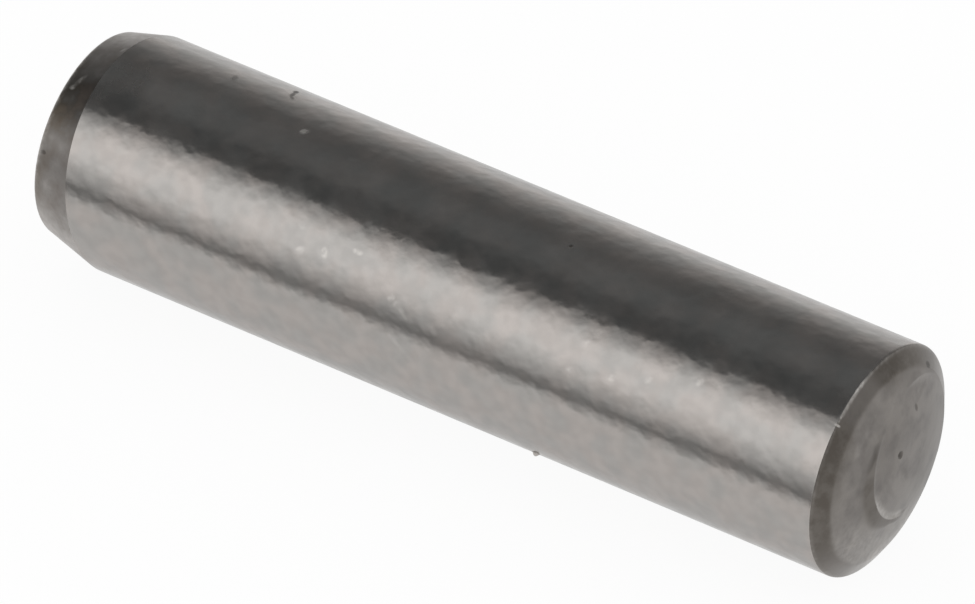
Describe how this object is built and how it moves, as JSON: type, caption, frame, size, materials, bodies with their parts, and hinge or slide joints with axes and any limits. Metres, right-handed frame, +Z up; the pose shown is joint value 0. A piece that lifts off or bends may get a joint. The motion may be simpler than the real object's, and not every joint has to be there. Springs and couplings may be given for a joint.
{
  "type": "dowel pin",
  "caption": "Parallel dowel pin in hardened, ground steel: a round shank with a tapered, crowned lead at one end and a crowned face with a blunted edge at the other.",
  "frame": {"origin": "on the pin's axis, at the middle of the ground shank", "axes": "+X along the axis towards the crowned driving face, with the tapered lead towards -X; +Z up as the pin lies on its side, on a surface at z = -3 mm"},
  "size_m": [0.024, 0.006, 0.006],
  "materials": {
    "pin_steel": "hardened steel: ground bright on the shank, duller and browner on the taper and the blunted edge, fine turning marks on the driving face"
  },
  "bodies": {
    "root": {"dowel_pin": "pin_steel"}
  },
  "joints": []
}
